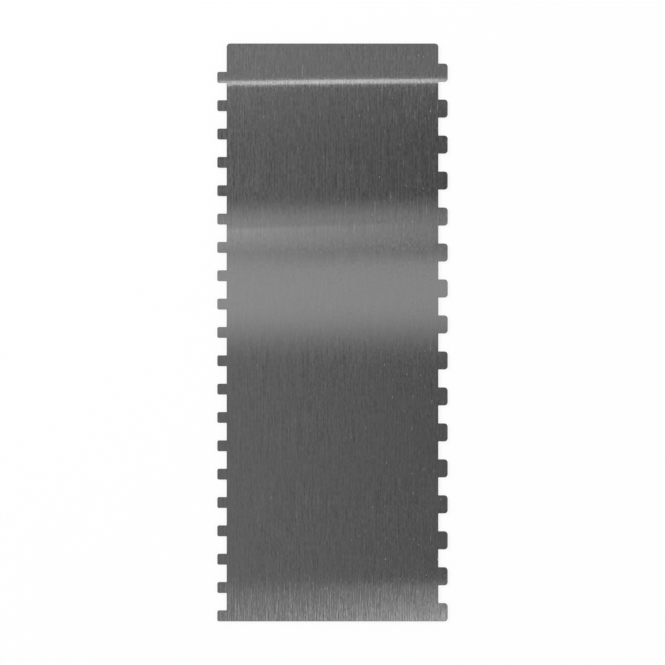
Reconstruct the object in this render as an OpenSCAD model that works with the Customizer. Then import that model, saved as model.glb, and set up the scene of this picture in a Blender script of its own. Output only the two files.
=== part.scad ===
// Flat cake comb, cut from one sheet of brushed steel.
// Fine square teeth run along the left edge, coarse ones along the right edge,
// and both short ends are straight. The lowest tooth of each row is flush with
// the lower end, which stands on a turntable while a cake is turned past the teeth.
// The comb lies on its back: length along Y, width along X, thickness up Z.

/* [Sheet] */
// Length of the sheet, from its lower end to its upper end
sheet_length = 254.8; // [120:0.1:400]
// Width of the sheet between the roots of its two rows of teeth
sheet_width = 93.35; // [40:0.05:200]
// Thickness of the sheet
sheet_thickness = 1; // [0.6:0.1:3]
// Radius of the two plain corners at the upper end
corner_radius = 1.5; // [0.5:0.1:10]
// Width of the chamfer that takes the burr off every edge
edge_break = 0.15; // [0.05:0.01:0.25]

/* [Rows of teeth] */
// How far every tooth stands out from the edge of the sheet
tooth_reach = 4.12; // [2:0.01:15]
// Least length of plain edge between the top tooth of a row and the upper end
least_plain_edge = 8; // [2:0.5:60]

/* [Fine teeth, left edge] */
// Distance from one fine tooth to the next
fine_pitch = 12.5; // [8:0.1:30]
// Width of a fine tooth along the edge
fine_tooth_width = 4.8; // [2:0.1:7]
// Radius of a fine tooth's two outer corners
fine_tooth_radius = 0.75; // [0.3:0.05:0.95]

/* [Coarse teeth, right edge] */
// Distance from one coarse tooth to the next
coarse_pitch = 15.865; // [10:0.005:40]
// Width of a coarse tooth along the edge
coarse_tooth_width = 7.98; // [4:0.01:9.5]
// Radius of a coarse tooth's two outer corners
coarse_tooth_radius = 1.45; // [0.3:0.05:1.9]

/* [Hidden] */
$fn = 64;

lower_end = -sheet_length / 2;
// A tooth runs this far into the sheet, past the rounding of the sheet's corner
tooth_root = corner_radius + edge_break;
left_side = -1;
right_side = 1;

// Cross-section of the sheet, with the burr taken off its two long sides
module cross_section(width) {
    half_width = width / 2;
    polygon([
        [-half_width, edge_break],
        [-half_width + edge_break, 0],
        [half_width - edge_break, 0],
        [half_width, edge_break],
        [half_width, sheet_thickness - edge_break],
        [half_width - edge_break, sheet_thickness],
        [-half_width + edge_break, sheet_thickness],
        [-half_width, sheet_thickness - edge_break]
    ]);
}

// Strip of sheet from start to end along X, centred on Y
module strip_along_x(start, end, width) {
    translate([start, 0, 0])
        rotate([90, 0, 90])
            linear_extrude(end - start)
                cross_section(width);
}

// Strip of sheet from start to end along Y, centred on X
module strip_along_y(start, end, width) {
    translate([0, end, 0])
        rotate([90, 0, 0])
            linear_extrude(end - start)
                cross_section(width);
}

// Disc of sheet that rounds a corner, with the same chamfers as the strips
module corner_disc(radius) {
    rotate_extrude()
        polygon([
            [0, 0],
            [radius - edge_break, 0],
            [radius, edge_break],
            [radius, sheet_thickness - edge_break],
            [radius - edge_break, sheet_thickness],
            [0, sheet_thickness]
        ]);
}

// The sheet without its teeth, all four corners rounded
module plain_sheet() {
    corner_x = sheet_width / 2 - corner_radius;
    corner_y = sheet_length / 2 - corner_radius;
    strip_along_x(-corner_x, corner_x, sheet_length);
    strip_along_y(-corner_y, corner_y, sheet_width);
    for (x = [-corner_x, corner_x], y = [-corner_y, corner_y])
        translate([x, y, 0])
            corner_disc(corner_radius);
}

// One tooth pointing along +X, with the root line of its row at X = 0
module tooth(width, radius) {
    corner_x = tooth_reach - radius;
    corner_y = width / 2 - radius;
    strip_along_x(-tooth_root, corner_x, width);
    translate([tooth_reach / 2, 0, 0])
        strip_along_y(-corner_y, corner_y, tooth_reach);
    for (y = [-corner_y, corner_y])
        translate([corner_x, y, 0])
            corner_disc(radius);
}

// How many teeth fit between the lower end and the plain edge at the top
function tooth_count(pitch, width) =
    floor((sheet_length - least_plain_edge - width) / pitch) + 1;

// A row of teeth along one edge, the first flush with the lower end
module tooth_row(side, pitch, width, radius) {
    for (i = [0 : tooth_count(pitch, width) - 1])
        translate([side * sheet_width / 2, lower_end + width / 2 + i * pitch, 0])
            rotate([0, 0, side == left_side ? 180 : 0])
                tooth(width, radius);
}

module comb_plate() {
    color([0.38, 0.38, 0.38])
        union() {
            plain_sheet();
            tooth_row(left_side, fine_pitch, fine_tooth_width, fine_tooth_radius);
            tooth_row(right_side, coarse_pitch, coarse_tooth_width, coarse_tooth_radius);
        }
}

comb_plate();
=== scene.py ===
import math
from collections import namedtuple

import bmesh
import bpy
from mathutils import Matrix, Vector


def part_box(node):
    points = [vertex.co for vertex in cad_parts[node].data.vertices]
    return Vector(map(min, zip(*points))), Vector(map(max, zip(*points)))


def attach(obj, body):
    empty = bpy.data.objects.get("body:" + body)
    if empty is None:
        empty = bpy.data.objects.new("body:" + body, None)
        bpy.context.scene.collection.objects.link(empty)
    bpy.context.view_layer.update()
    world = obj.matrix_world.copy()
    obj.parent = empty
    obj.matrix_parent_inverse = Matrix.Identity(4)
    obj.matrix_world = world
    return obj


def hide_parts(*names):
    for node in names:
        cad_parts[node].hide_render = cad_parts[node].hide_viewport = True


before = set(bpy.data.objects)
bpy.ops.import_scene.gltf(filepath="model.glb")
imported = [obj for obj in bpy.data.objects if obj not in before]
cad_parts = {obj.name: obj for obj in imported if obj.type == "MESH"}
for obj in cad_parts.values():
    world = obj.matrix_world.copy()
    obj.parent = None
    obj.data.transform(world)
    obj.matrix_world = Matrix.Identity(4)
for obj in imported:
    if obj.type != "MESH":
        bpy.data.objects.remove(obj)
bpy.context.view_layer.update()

# The flat cake comb, dressed as brushed steel. All sizes are in metres, and the
# comb lies as it does in the CAD model: length along Y, width along X, underside
# on the floor at Z = 0. The photograph looks straight down on it.

# Sizes of the comb that its box doesn't give
TOOTH_REACH = 0.00412
SHEET_CORNER_RADIUS = 0.0015
EDGE_BREAK = 0.00015
ROOT_FILLET = 0.0002

ToothRow = namedtuple("ToothRow", "count pitch width radius")
FINE_ROW = ToothRow(count=20, pitch=0.0125, width=0.0048, radius=0.00075)
COARSE_ROW = ToothRow(count=16, pitch=0.015865, width=0.00798, radius=0.00145)

# Steps in each quarter turn of a root, of a corner and of the broken edge
ROOT_STEPS = 3
CORNER_STEPS = 8
EDGE_STEPS = 3

# The photograph's frame, and how far above its middle the comb's middle lies
IMAGE_WIDTH = 665
METRES_PER_PIXEL = 0.00044081
COMB_ABOVE_MIDDLE = 0.00003
LENS = 85
SENSOR = 36

low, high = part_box("comb_plate")
HALF_WIDTH = high.x - TOOTH_REACH
HALF_LENGTH = (high.y - low.y) / 2
THICKNESS = high.z - low.z
CAMERA_HEIGHT = IMAGE_WIDTH / 2 * METRES_PER_PIXEL * LENS / (SENSOR / 2)


# Shape of the comb

OutlinePoint = namedtuple("OutlinePoint", "x y outward_x outward_y")


def arc(centre, radius, start_degrees, end_degrees, steps, hollow=False):
    """Points along an arc, each with the direction that leads out of the sheet there."""
    points = []
    outward = -1 if hollow else 1
    for step in range(steps + 1):
        angle = math.radians(start_degrees + (end_degrees - start_degrees) * step / steps)
        across, along = math.cos(angle), math.sin(angle)
        points.append(OutlinePoint(centre[0] + radius * across, centre[1] + radius * along,
                                   outward * across, outward * along))
    return points


def tooth(row, start, inset, has_lower_root):
    """One tooth of the right edge, from its lower root round its tip to its upper root."""
    end = start + row.width
    tip = HALF_WIDTH + TOOTH_REACH - row.radius
    root = HALF_WIDTH + ROOT_FILLET
    points = []
    if has_lower_root:
        points += arc((root, start - ROOT_FILLET), ROOT_FILLET + inset, 180, 90, ROOT_STEPS, hollow=True)
    points += arc((tip, start + row.radius), row.radius - inset, -90, 0, CORNER_STEPS)
    points += arc((tip, end - row.radius), row.radius - inset, 0, 90, CORNER_STEPS)
    points += arc((root, end + ROOT_FILLET), ROOT_FILLET + inset, 270, 180, ROOT_STEPS, hollow=True)
    return points


def mirrored(points):
    """The same points with left and right swapped, run the other way."""
    return [OutlinePoint(-p.x, p.y, -p.outward_x, p.outward_y) for p in reversed(points)]


def toothed_edge(row, inset):
    """The right edge going up, as one list of points for each tooth. The lowest is flush with the end."""
    return [tooth(row, index * row.pitch - HALF_LENGTH, inset, has_lower_root=index > 0)
            for index in range(row.count)]


def upper_corner(inset):
    """The rounded corner between the right edge and the upper end."""
    centre = (HALF_WIDTH - SHEET_CORNER_RADIUS, HALF_LENGTH - SHEET_CORNER_RADIUS)
    return arc(centre, SHEET_CORNER_RADIUS - inset, 0, 90, CORNER_STEPS)


def outline(inset):
    """The whole outline anticlockwise, in parts: coarse teeth, two corners, fine teeth."""
    coarse = toothed_edge(COARSE_ROW, inset)
    fine = [mirrored(part) for part in reversed(toothed_edge(FINE_ROW, inset))]
    return coarse + [upper_corner(inset), mirrored(upper_corner(inset))] + fine


EdgeRing = namedtuple("EdgeRing", "inset height side up")


def edge_rings():
    """The rounded edge from the underside to the upper side: where each ring lies and how it faces."""
    rounding = []
    for step in range(EDGE_STEPS + 1):
        turn = math.radians(90 * step / EDGE_STEPS)
        rounding.append(EdgeRing(EDGE_BREAK * (1 - math.sin(turn)), EDGE_BREAK * (1 - math.cos(turn)),
                                 math.sin(turn), math.cos(turn)))
    lower = [ring._replace(up=-ring.up) for ring in rounding]
    upper = [ring._replace(height=THICKNESS - ring.height) for ring in reversed(rounding)]
    return lower + upper


def flat_side(ring, sizes):
    """Corner lists of a flat side: one face for each tooth, and one for the sheet between them."""
    faces = []
    sheet = []
    start = 0
    for size in sizes:
        part = ring[start:start + size]
        start += size
        is_tooth = size > CORNER_STEPS + 1
        if is_tooth:
            faces.append(part)
            sheet += [part[0], part[-1]]
        else:
            sheet += part
    return faces + [sheet]


def comb_mesh():
    """The sheet as a closed mesh: two flat sides, and rings of narrow faces round the edge."""
    build = bmesh.new()
    unwrap = build.loops.layers.uv.new("sheet")
    rings = []
    normals = []
    for level in edge_rings():
        points = [point for part in outline(level.inset) for point in part]
        rings.append([build.verts.new((p.x, p.y, level.height)) for p in points])
        normals += [Vector((p.outward_x * level.side, p.outward_y * level.side, level.up)) for p in points]

    around = len(rings[0])
    run = [0.0]
    for index in range(around):
        run.append(run[-1] + (rings[0][(index + 1) % around].co - rings[0][index].co).length)
    for lower, upper in zip(rings, rings[1:]):
        for index in range(around):
            following = (index + 1) % around
            face = build.faces.new((lower[index], lower[following], upper[following], upper[index]))
            face.material_index = 1
            for loop, place in zip(face.loops, (run[index], run[index + 1], run[index + 1], run[index])):
                loop[unwrap].uv = (place, loop.vert.co.z)

    sizes = [len(part) for part in outline(0)]
    upper_faces = flat_side(rings[-1], sizes)
    lower_faces = [list(reversed(corners)) for corners in flat_side(rings[0], sizes)]
    for corners in upper_faces + lower_faces:
        face = build.faces.new(corners)
        for loop in face.loops:
            loop[unwrap].uv = (loop.vert.co.x, loop.vert.co.y)

    for face in build.faces:
        face.smooth = True
    mesh = bpy.data.meshes.new("comb_plate_dressed")
    build.to_mesh(mesh)
    build.free()
    mesh.normals_split_custom_set_from_vertices(normals)
    return mesh


# Building materials out of nodes

# A value that goes from low to high as another one goes from start to end
Change = namedtuple("Change", "start end low high", defaults=(0.0, 1.0))

# A noise pattern: the size of its cells, by how many of them it is shifted, and its finer layers
Grain = namedtuple("Grain", "cell shift layers", defaults=((0, 0, 0), 0))


class Graph:
    """Adds nodes to a node tree and joins them. A value is a number, a tuple or another node's output."""

    def __init__(self, tree):
        self.tree = tree

    def node(self, kind, inputs=None, **settings):
        made = self.tree.nodes.new(kind)
        for name, value in settings.items():
            setattr(made, name, value)
        for name, value in (inputs or {}).items():
            self.give(made.inputs[name], value)
        return made

    def give(self, socket, value):
        if isinstance(value, bpy.types.NodeSocket):
            self.tree.links.new(value, socket)
        else:
            socket.default_value = value

    def math(self, operation, first, second=0.0):
        made = self.node("ShaderNodeMath", operation=operation)
        self.give(made.inputs[0], first)
        self.give(made.inputs[1], second)
        return made.outputs[0]

    def vector(self, operation, first, second=(0, 0, 0)):
        made = self.node("ShaderNodeVectorMath", operation=operation)
        self.give(made.inputs[0], first)
        self.give(made.inputs[1], second)
        return made.outputs[0]

    def ramp(self, value, change, kind="SMOOTHSTEP"):
        """Follows a change as value passes from its start to its end."""
        inputs = {"Value": value, "From Min": change.start, "From Max": change.end,
                  "To Min": change.low, "To Max": change.high}
        return self.node("ShaderNodeMapRange", inputs, interpolation_type=kind).outputs["Result"]

    def line(self, value, change):
        """Follows a change evenly."""
        return self.ramp(value, change, "LINEAR")

    def blend(self, share, first, second):
        """The first value where share is nothing, the second where it is one."""
        inputs = {"Factor": share, "A": first, "B": second}
        return self.node("ShaderNodeMix", inputs).outputs["Result"]

    def split(self, vector):
        return self.node("ShaderNodeSeparateXYZ", {"Vector": vector}).outputs

    def grey(self, value):
        colour = self.node("ShaderNodeCombineColor", {"Red": value, "Green": value, "Blue": value})
        return colour.outputs["Color"]

    def channels(self, colour):
        return self.node("ShaderNodeSeparateColor", {"Color": colour}).outputs

    def object_place(self):
        return self.node("ShaderNodeTexCoord").outputs["Object"]

    def cell_place(self, cell, shift=(0, 0, 0)):
        """The place on the object, counted in cells of the given size."""
        return self.vector("ADD", self.vector("DIVIDE", self.object_place(), cell), shift)

    def noise(self, grain):
        """Three unrelated noise values, each about 0.5."""
        inputs = {"Vector": self.cell_place(grain.cell, grain.shift), "Scale": 1.0, "Detail": grain.layers}
        return self.channels(self.node("ShaderNodeTexNoise", inputs).outputs["Color"])

    def waver(self, *parts):
        """The sum of noise values that waver about nothing; a part is a value and how far it swings."""
        total = 0.0
        for value, swing in parts:
            total = self.math("ADD", self.line(value, Change(0.0, 1.0, -swing / 2, swing / 2)), total)
        return total


def new_material(name):
    material = bpy.data.materials.new(name)
    material.use_nodes = True
    return material, Graph(material.node_tree), material.node_tree.nodes["Principled BSDF"]


# Brushed steel. The grain runs along the comb, so its cells are narrow and long.

FINE = Grain(cell=(0.0003, 0.0015, 0.001), shift=(71, 5, 2))
SHORT = Grain(cell=(0.0007, 0.002, 0.001), layers=1)
MIDDLING = Grain(cell=(0.0006, 0.007, 0.001), shift=(40, 7, 3), layers=1)
LONG = Grain(cell=(0.0006, 0.03, 0.001), shift=(11, 23, 5), layers=1)
SOFT = Grain(cell=(0.0013, 0.009, 0.001), shift=(23, 9, 6))
CLOUD = Grain(cell=(0.03, 0.05, 0.01), shift=(3, 5, 9), layers=2)
STROKE = Grain(cell=(0.00028, 0.008, 0.001), shift=(17, 31, 8), layers=1)
# The strokes once more, shifted sideways by about a cell and a half
RIDGE = STROKE._replace(shift=(18.57, 31, 8))

# The upper part of the comb, where grain and scratches are stronger, and the lower end with its strokes
UPPER_PART = Change(start=0.03, end=0.065)
LOWER_END = Change(start=-0.09, end=-0.118)

# How far the grain tips the surface sideways, by the length of its cells, and how its depth differs
SHORT_TIP = 0.17
MIDDLING_TIP = 0.16
LONG_TIP = 0.13
DEPTH_BY_CLOUD = Change(start=0.35, end=0.65, low=0.8, high=1.2)
LOWER_DEPTH = 0.83
UPPER_DEPTH = 1.25

# How far the surface tips along the comb
SOFT_TIP = 0.003
CLOUD_TIP = 0.0015

# How far the lower end's strokes tip it, and the shares of stroke, ridge and fine grain in that
STROKE_TIP = Change(start=-HALF_WIDTH, end=HALF_WIDTH, low=0.16, high=0.071)
STROKE_SHARE = 0.9
RIDGE_SHARE = -0.32
FINE_SHARE = 0.4

# The cells that may each hold a scratch, and how rare scratches are from side to side
SHORT_SCRATCH_CELL = (0.003, 0.014, 1)
SHORT_SCRATCH_RARITY = Change(start=0.0, end=HALF_WIDTH, low=0.93, high=0.25)
HAIRLINE_CELL = (0.0016, 0.06, 1)
HAIRLINE_RARITY = Change(start=-HALF_WIDTH, end=HALF_WIDTH, low=0.8, high=0.1)
LOWER_HAIRLINE_RARITY = 0.95

# How far a scratch reaches in its cell, from the smallest to the largest, and its soft rim
SMALLEST_SCRATCH_SHARE = 0.024
LARGEST_SCRATCH_SHARE = 0.06
SCRATCH_RIM = Change(start=1.0, end=0.4)

# Grey and gloss of the faces and of the scratches, which scatter light: their lighter grey is a painted
# glint
STEEL_GREY = 0.38
SHALLOW_SCRATCH_GLINT_GREY = 0.53
DEEP_SCRATCH_GLINT_GREY = 0.72
SOFT_TONE = 0.018
LONG_TONE = 0.006
POLISH = Change(start=0.25, end=0.75, low=0.035, high=0.18)
SCRATCH_ROUGHNESS = 0.6
ANISOTROPY = 0.8


def scratches(graph, cell, rarity):
    """Sparse scratches along the grain: one inside a scratch, nothing elsewhere.

    Each cell of the given size may hold one scratch. It stays empty the more often, the nearer
    rarity is to one."""
    spread = graph.node("ShaderNodeTexVoronoi", {"Vector": graph.cell_place(cell), "Scale": 1.0},
                        voronoi_dimensions="2D").outputs
    chance = graph.channels(spread["Color"])
    here = graph.math("GREATER_THAN", chance["Red"], rarity)
    reach = graph.line(chance["Green"], Change(0.0, 1.0, SMALLEST_SCRATCH_SHARE, LARGEST_SCRATCH_SHARE))
    inside = graph.ramp(graph.math("DIVIDE", spread["Distance"], reach), SCRATCH_RIM)
    return graph.math("MULTIPLY", here, inside)


def all_scratches(graph, across, near_upper_end):
    """Scratches are commoner by the coarse teeth, and longer near the upper end."""
    short_scratch = scratches(graph, SHORT_SCRATCH_CELL, graph.line(across, SHORT_SCRATCH_RARITY))
    hairline_rarity = graph.math("MAXIMUM", graph.blend(near_upper_end, LOWER_HAIRLINE_RARITY, 0.0),
                                 graph.line(across, HAIRLINE_RARITY))
    return graph.math("MAXIMUM", short_scratch, scratches(graph, HAIRLINE_CELL, hairline_rarity))


def stroke_lean(graph, place, fine):
    """Strokes of the lower end, each with a ridge beside it that leans the other way."""
    stroke = graph.noise(STROKE)
    ridge = graph.noise(RIDGE)
    end_stroke = graph.waver((stroke["Green"], STROKE_SHARE), (ridge["Green"], RIDGE_SHARE),
                             (fine["Green"], FINE_SHARE))
    swing = graph.math("MULTIPLY", graph.line(place["X"], STROKE_TIP), graph.ramp(place["Y"], LOWER_END))
    return graph.math("MULTIPLY", swing, end_stroke)


def brushed_steel():
    """Steel brushed along its length: reflections stay sharp along the grain and spread across it."""
    material, graph, shader = new_material("brushed_steel")
    fine = graph.noise(FINE)
    short = graph.noise(SHORT)
    middling = graph.noise(MIDDLING)
    long = graph.noise(LONG)
    soft = graph.noise(SOFT)
    cloud = graph.noise(CLOUD)
    place = graph.split(graph.object_place())
    near_upper_end = graph.ramp(place["Y"], UPPER_PART)

    depth = graph.math("MULTIPLY", graph.ramp(cloud["Red"], DEPTH_BY_CLOUD),
                       graph.blend(near_upper_end, LOWER_DEPTH, UPPER_DEPTH))
    lean_across = graph.waver((short["Red"], SHORT_TIP), (middling["Red"], MIDDLING_TIP),
                              (long["Red"], LONG_TIP))
    lean_across = graph.math("MULTIPLY", lean_across, depth)
    lean_along = graph.waver((soft["Green"], SOFT_TIP), (cloud["Green"], CLOUD_TIP))
    lean_along = graph.math("ADD", lean_along, stroke_lean(graph, place, fine))
    lean = graph.node("ShaderNodeCombineXYZ", {"X": lean_across, "Y": lean_along}).outputs["Vector"]
    flat_normal = graph.node("ShaderNodeNewGeometry").outputs["Normal"]
    graph.give(shader.inputs["Normal"], graph.vector("NORMALIZE", graph.vector("ADD", flat_normal, lean)))

    scratch = all_scratches(graph, place["X"], near_upper_end)
    # The scratches' lighter grey is a painted glint, lighter still near the upper end
    scratch_glint_grey = graph.blend(near_upper_end, SHALLOW_SCRATCH_GLINT_GREY, DEEP_SCRATCH_GLINT_GREY)
    tone = graph.waver((soft["Blue"], SOFT_TONE), (long["Blue"], LONG_TONE))
    tone = graph.blend(scratch, graph.math("ADD", tone, STEEL_GREY), scratch_glint_grey)
    graph.give(shader.inputs["Base Color"], graph.grey(tone))
    roughness = graph.blend(scratch, graph.line(fine["Red"], POLISH), SCRATCH_ROUGHNESS)
    graph.give(shader.inputs["Roughness"], roughness)
    shader.inputs["Metallic"].default_value = 1.0
    shader.inputs["Anisotropic"].default_value = ANISOTROPY
    tangent = graph.node("ShaderNodeTangent", direction_type="UV_MAP", uv_map="sheet")
    graph.give(shader.inputs["Tangent"], tangent.outputs["Tangent"])
    return material


# Cut edge, with faint lines through the thickness, and a darker grey that is painted shade

CUT_LINES = Grain(cell=(0.0002, 0.0002, 0.002), layers=3)
CUT_LINE_DEPTH = 0.00003
CUT_LINE_STRENGTH = 0.5
# The edge's grey is darker than the faces': painted shade along the rim
EDGE_SHADE_GREY = 0.25
EDGE_TONE = 0.2
EDGE_POLISH = Change(start=0.25, end=0.75, low=0.25, high=0.4)


def cut_edge():
    """The narrow cut edge, duller than the faces and painted darker with shade."""
    material, graph, shader = new_material("cut_edge")
    lines = graph.noise(CUT_LINES)
    # Painted shade: the edge's grey sits below the steel grey of the faces
    tone = graph.math("ADD", graph.waver((lines["Red"], EDGE_TONE)), EDGE_SHADE_GREY)
    graph.give(shader.inputs["Base Color"], graph.grey(tone))
    graph.give(shader.inputs["Roughness"], graph.line(lines["Green"], EDGE_POLISH))
    bump = graph.node("ShaderNodeBump", {"Height": lines["Blue"], "Distance": CUT_LINE_DEPTH,
                                         "Strength": CUT_LINE_STRENGTH})
    graph.give(shader.inputs["Normal"], bump.outputs["Normal"])
    shader.inputs["Metallic"].default_value = 1.0
    return material


mesh = comb_mesh()
mesh.materials.append(brushed_steel())
mesh.materials.append(cut_edge())
comb = bpy.data.objects.new("comb_plate_dressed", mesh)
bpy.context.scene.collection.objects.link(comb)
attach(comb, "root")
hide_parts("comb_plate")


# Camera, straight above the middle of the photograph

camera_data = bpy.data.cameras.new("camera")
camera_data.lens = LENS
camera_data.sensor_width = SENSOR
camera = bpy.data.objects.new("camera", camera_data)
camera.location = (0, -COMB_ABOVE_MIDDLE, THICKNESS + CAMERA_HEIGHT)
bpy.context.scene.collection.objects.link(camera)
bpy.context.scene.camera = camera


# Two level cards hang over the comb and show in the steel, as a studio's ceiling and
# softboxes do: a high dim one, and a low clear one whose light stays crisp. A lamp is
# a soft band of light on a card. It is given by the place on the comb where it shows,
# up from the middle of the comb, and by how bright the steel shows it: in the middle,
# and the shares by which it is brighter at the right edge and dimmer at both edges.
# Most of their places, softness, tilts and brightness weren't chosen by hand. A scratch
# program fitted them to the photograph's greys, and they were then rounded.

Lamp = namedtuple("Lamp", "start start_soft end end_soft tilt bend middle rise_to_right fall_to_sides")

HIGH_CARD_HEIGHT = 0.35
HIGH_CARD_HALF_SIZE = 0.42
HIGH_CARD_FADE = 0.12
LOW_CARD_HEIGHT = 0.05
LOW_CARD_HALF_SIZE = 0.2
BEYOND = 0.4

HIGH_LAMPS = [
    # Ceiling, brighter on the left
    Lamp(start=-BEYOND, start_soft=0.01, end=BEYOND, end_soft=0.01, tilt=0, bend=0,
         middle=0.06, rise_to_right=-0.7, fall_to_sides=0),
    # Middle band
    Lamp(start=-0.0007, start_soft=0.026, end=0.0336, end_soft=0.0075, tilt=0.012, bend=0,
         middle=0.185, rise_to_right=0.17, fall_to_sides=0),
    # Glow round the strip
    Lamp(start=0.0995, start_soft=0.043, end=BEYOND, end_soft=0.01, tilt=0, bend=0,
         middle=0.034, rise_to_right=0, fall_to_sides=0),
    # Bright lower end
    Lamp(start=-BEYOND, start_soft=0.01, end=-0.141, end_soft=0.066, tilt=0.05, bend=0,
         middle=0.5, rise_to_right=0.4, fall_to_sides=0),
]
LOW_LAMPS = [
    # Fill from the right, below the middle band and above it
    Lamp(start=-BEYOND, start_soft=0.01, end=-0.0007, end_soft=0.027, tilt=0.01, bend=0,
         middle=0.035, rise_to_right=0.7, fall_to_sides=0),
    Lamp(start=0.033, start_soft=0.008, end=BEYOND, end_soft=0.01, tilt=0.01, bend=0,
         middle=0.028, rise_to_right=0.78, fall_to_sides=0),
    # Start of the bright lower end
    Lamp(start=-BEYOND, start_soft=0.01, end=-0.1114, end_soft=0.005, tilt=0.03, bend=0,
         middle=0.034, rise_to_right=0.3, fall_to_sides=0),
    # Bright strip
    Lamp(start=0.10945, start_soft=0.0003, end=0.11125, end_soft=0.0003, tilt=0.011, bend=-0.045,
         middle=0.44, rise_to_right=0.02, fall_to_sides=0.18),
    # Panel above the strip
    Lamp(start=0.111, start_soft=0.001, end=0.16, end_soft=0.03, tilt=0.012, bend=0,
         middle=0.021, rise_to_right=0.25, fall_to_sides=0),
    # Streak at the left of the upper band
    Lamp(start=0.0425, start_soft=0.014, end=0.047, end_soft=0.002, tilt=0.03, bend=0,
         middle=0.05, rise_to_right=-0.6, fall_to_sides=0),
    # Upper band
    Lamp(start=0.0355, start_soft=0.01, end=0.0548, end_soft=0.012, tilt=0.029, bend=0,
         middle=0.093, rise_to_right=-0.08, fall_to_sides=0),
]


def level_square(name, half_size, height, material):
    """A level square of the studio, which isn't part of the object."""
    mesh = bpy.data.meshes.new(name)
    corners = [(-half_size, -half_size, height), (half_size, -half_size, height),
               (half_size, half_size, height), (-half_size, half_size, height)]
    mesh.from_pydata(corners, [], [(0, 1, 2, 3)])
    mesh.materials.append(material)
    square = bpy.data.objects.new(name, mesh)
    bpy.context.scene.collection.objects.link(square)
    return square


def brightness(graph, lamp, across):
    """How bright a lamp is from side to side. Its slope ends twice as far out as the comb's edge."""
    reach = 2 * HALF_WIDTH
    rise = lamp.middle * lamp.rise_to_right * reach / HALF_WIDTH
    light = graph.line(across, Change(-reach, reach, lamp.middle - rise, lamp.middle + rise))
    fall_rate = lamp.middle * lamp.fall_to_sides / HALF_WIDTH ** 2
    fall = graph.math("MULTIPLY", graph.math("MULTIPLY", across, across), fall_rate)
    return graph.math("MAXIMUM", graph.math("SUBTRACT", light, fall), 0.0)


def lamp_cover(graph, lamp, across, along):
    """One where a lamp shows, nothing beside it."""
    slant = graph.math("MULTIPLY", across, lamp.tilt)
    curve = graph.math("MULTIPLY", graph.math("MULTIPLY", across, across), lamp.bend)
    level = graph.math("SUBTRACT", along, graph.math("ADD", slant, curve))
    rising = graph.ramp(level, Change(lamp.start - lamp.start_soft / 2, lamp.start + lamp.start_soft / 2))
    falling = graph.ramp(level, Change(lamp.end + lamp.end_soft / 2, lamp.end - lamp.end_soft / 2))
    return graph.math("MULTIPLY", rising, falling)


def card_glow(graph, height, lamps):
    """The glow of a card, which is the sum of its lamps. The comb shows the card smaller than it is."""
    shown_size = 1 / (1 + height / CAMERA_HEIGHT)
    shown = graph.split(graph.vector("MULTIPLY", graph.object_place(), (shown_size,) * 3))
    across, along = shown["X"], shown["Y"]
    light = 0.0
    for lamp in lamps:
        cover = lamp_cover(graph, lamp, across, along)
        shine = graph.math("MULTIPLY", cover, brightness(graph, lamp, across))
        light = graph.math("ADD", shine, light)
    return graph.node("ShaderNodeEmission", {"Color": light, "Strength": 1 / STEEL_GREY}).outputs["Emission"]


def faded_border(graph):
    """One over the middle of the high card, fading to nothing at its border."""
    away = graph.split(graph.vector("ABSOLUTE", graph.object_place()))
    border = Change(HIGH_CARD_HALF_SIZE, HIGH_CARD_HALF_SIZE - HIGH_CARD_FADE)
    return graph.math("MULTIPLY", graph.ramp(away["X"], border), graph.ramp(away["Y"], border))


def hang_card(name, half_size, height, lamps, solid):
    """Hangs a card that only reflections show. Unless it is solid, what lies behind it shows through."""
    material, graph, shader = new_material(name)
    graph.tree.nodes.remove(shader)
    clear = graph.node("ShaderNodeBsdfTransparent").outputs["BSDF"]
    glow = card_glow(graph, height, lamps)
    if solid:
        surface = graph.node("ShaderNodeMixShader", {"Fac": faded_border(graph)})
        graph.give(surface.inputs[1], clear)
        graph.give(surface.inputs[2], glow)
    else:
        surface = graph.node("ShaderNodeAddShader")
        graph.give(surface.inputs[0], clear)
        graph.give(surface.inputs[1], glow)
    graph.give(graph.tree.nodes["Material Output"].inputs["Surface"], surface.outputs["Shader"])
    card = level_square(name, half_size, height, material)
    card.visible_camera = False
    card.visible_diffuse = False
    card.visible_shadow = False
    card.visible_transmission = False


# Floor, world and softboxes

WHITE = 1.0
FLOOR_HALF_SIZE = 6
FLOOR_OWN_WHITE = 0.83
FLOOR_GREY = 0.2

# How high up the world's white ends and its full grey begins, as sines, and its greys overhead
WHITE_UP_TO = 0.08
GREY_FROM = 0.6
GREY_OVERHEAD_LEFT = 0.65
GREY_OVERHEAD_RIGHT = 0.3


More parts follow.
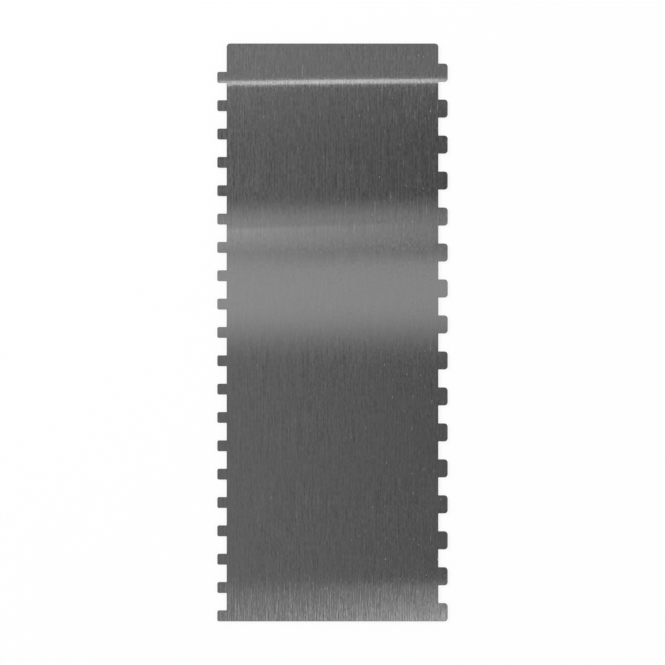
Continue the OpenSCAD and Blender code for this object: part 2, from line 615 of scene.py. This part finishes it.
def floor():
    """White floor: most of its white is its own, so that the comb's shadow on it stays faint."""
    material, graph, shader = new_material("studio_floor")
    shader.inputs["Base Color"].default_value = (FLOOR_GREY, FLOOR_GREY, FLOOR_GREY, 1)
    shader.inputs["Roughness"].default_value = 1.0
    shader.inputs["Specular IOR Level"].default_value = 0.0
    shader.inputs["Emission Color"].default_value = (WHITE, WHITE, WHITE, 1)
    path = graph.node("ShaderNodeLightPath").outputs
    seen = graph.math("MAXIMUM", path["Is Camera Ray"], path["Is Glossy Ray"])
    seen = graph.math("MAXIMUM", seen, path["Is Transmission Ray"])
    graph.give(shader.inputs["Emission Strength"], graph.math("MULTIPLY", seen, FLOOR_OWN_WHITE))
    level_square("studio_floor", FLOOR_HALF_SIZE, low.z, material)


def studio_world():
    """A pale studio: white at the level of the floor, greyer overhead and most so on the right."""
    world = bpy.data.worlds.new("studio")
    world.use_nodes = True
    graph = Graph(world.node_tree)
    towards = graph.split(graph.node("ShaderNodeTexCoord").outputs["Generated"])
    overhead = graph.ramp(towards["X"], Change(-1.0, 1.0, GREY_OVERHEAD_LEFT, GREY_OVERHEAD_RIGHT))
    sky = graph.ramp(towards["Z"], Change(WHITE_UP_TO, GREY_FROM, WHITE, overhead))
    graph.give(world.node_tree.nodes["Background"].inputs["Color"], graph.grey(sky))
    bpy.context.scene.world = world


def softbox(name, place, size, power):
    """A square soft lamp that looks at the middle of the comb. The steel shows the cards instead of it."""
    light = bpy.data.lights.new(name, "AREA")
    light.shape = "SQUARE"
    light.size = size
    light.energy = power
    lamp = bpy.data.objects.new(name, light)
    lamp.location = place
    lamp.rotation_euler = Vector(place).to_track_quat("Z", "Y").to_euler()
    lamp.visible_glossy = False
    bpy.context.scene.collection.objects.link(lamp)


hang_card("high_card", HIGH_CARD_HALF_SIZE, HIGH_CARD_HEIGHT, HIGH_LAMPS, solid=True)
hang_card("low_card", LOW_CARD_HALF_SIZE, LOW_CARD_HEIGHT, LOW_LAMPS, solid=False)
floor()
studio_world()
softbox("softbox_left", place=(-1.7, 0.9, 1.2), size=1.0, power=20)
softbox("softbox_right", place=(1.9, -0.5, 1.1), size=0.8, power=8)
bpy.context.scene.view_settings.view_transform = "Standard"
